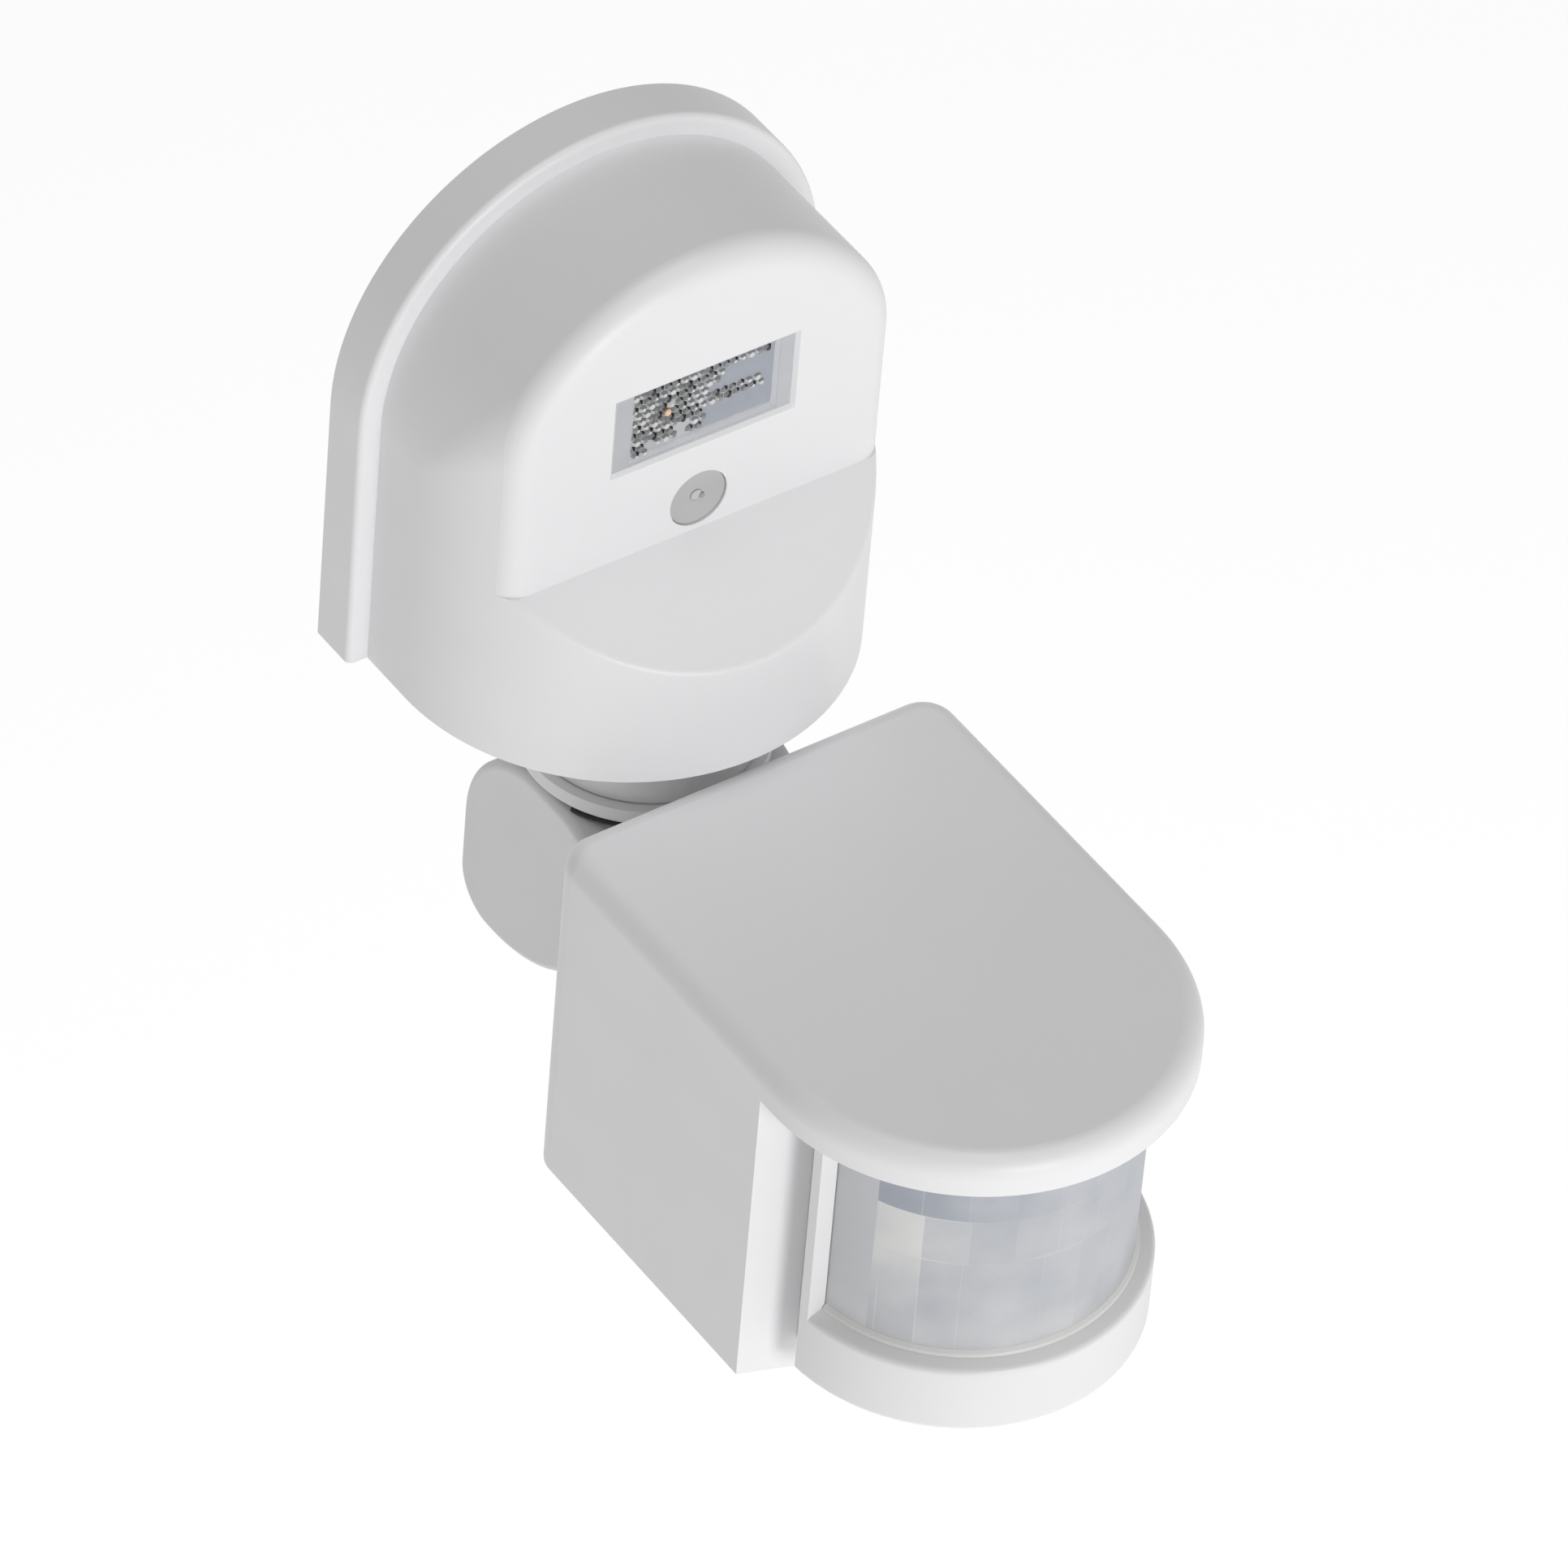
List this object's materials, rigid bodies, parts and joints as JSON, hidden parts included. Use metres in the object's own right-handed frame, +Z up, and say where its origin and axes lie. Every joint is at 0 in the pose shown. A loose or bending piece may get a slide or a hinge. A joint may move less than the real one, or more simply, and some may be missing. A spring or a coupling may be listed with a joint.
{
  "type": "motion sensor",
  "caption": "Wall-mounted motion sensor with an arched light base, a swivel knuckle below it and a boxy sensor head behind a half-round lens",
  "frame": {"origin": "on the wall plane, at the middle of the lower edge of the base's back", "axes": "+Z up, +Y back into the wall, +X to the right as seen from the front; the base and the lens face -Y"},
  "size_m": [0.072, 0.1299, 0.1347],
  "materials": {
    "housing": "satin moulded plastic",
    "bezel": "satin moulded plastic",
    "swivel": "fine matt moulded plastic",
    "plate": "matt moulded plastic",
    "plug": "matt moulded plastic",
    "lens": "milky sheet with lens facets",
    "window": "clear moulding, faceted behind",
    "seal": "matt",
    "insulator": "natural nylon",
    "sheath": "matt sheathed lead",
    "friction": "pressed fibre",
    "fasteners": "zinc plated",
    "brass_parts": "plain brass",
    "circuit_board": "green solder mask",
    "light_chips": "white case with a yellow phosphor",
    "sensor_can": "nickel plated can",
    "indicator": "tinted clear case",
    "relay_case": "glossy case",
    "capacitor_case": "glossy case",
    "capacitor_can": "sleeved can",
    "chip_case": "moulded epoxy",
    "trimmer_case": "moulded case",
    "cell": "coated ceramic",
    "knob": "matt moulded plastic"
  },
  "bodies": {
    "base": {"wall_plate": "plate", "cover_gasket": "seal", "base_cover": "housing", "cable_grommet": "seal", "terminal_block": "insulator", "terminal_clamps": "brass_parts", "terminal_screws": "fasteners", "led_window": "window", "led_board": "circuit_board", "led_chips": "light_chips", "led_board_screws": "fasteners", "screw_plug": "plug", "cover_screw": "fasteners", "supply_lead": "sheath", "fixed_collar": "swivel", "collar_nut": "insulator", "swivel_seal": "seal"},
    "swivel": {"swivel_body": "swivel", "swivel_washer": "insulator", "swivel_clip": "fasteners", "swivel_lead": "sheath", "tilt_bolt": "fasteners", "tilt_nut": "fasteners", "tilt_spring_washer": "fasteners", "friction_washers": "friction", "tilt_cap": "plug"},
    "head": {"tilt_arm": "swivel", "arm_screws": "fasteners", "arm_lead": "sheath", "head_shell": "housing", "head_bottom": "housing", "bottom_screws": "fasteners", "daylight_window": "window", "lens_bezel": "bezel", "fresnel_lens": "lens", "main_board": "circuit_board", "board_screws": "fasteners", "sensor_board": "circuit_board", "board_header": "brass_parts", "pir_sensor": "sensor_can", "status_led": "indicator", "relay": "relay_case", "film_capacitor": "capacitor_case", "electrolytic_capacitors": "capacitor_can", "control_chip": "chip_case", "trimmers": "trimmer_case", "photocell": "cell"},
    "time_adjuster": {"time_knob": "knob"},
    "daylight_adjuster": {"daylight_knob": "knob"},
    "range_adjuster": {"range_knob": "knob"}
  },
  "joints": [
    {"name": "head_pan", "type": "hinge", "parent": "base", "child": "swivel", "pos_m": [0, -0.025, -0.013], "axis": [0, 0, 1], "range_deg": [-75, 75]},
    {"name": "head_tilt", "type": "hinge", "parent": "swivel", "child": "head", "pos_m": [0, -0.025, -0.033], "axis": [1, 0, 0], "range_deg": [-2, 50]},
    {"name": "time_turn", "type": "hinge", "parent": "head", "child": "time_adjuster", "pos_m": [-0.014, -0.074, -0.0575], "axis": [0, 0, 1], "range_deg": [-135, 135]},
    {"name": "daylight_turn", "type": "hinge", "parent": "head", "child": "daylight_adjuster", "pos_m": [0, -0.074, -0.0575], "axis": [0, 0, 1], "range_deg": [-135, 135]},
    {"name": "range_turn", "type": "hinge", "parent": "head", "child": "range_adjuster", "pos_m": [0.014, -0.074, -0.0575], "axis": [0, 0, 1], "range_deg": [-135, 135]}
  ]
}
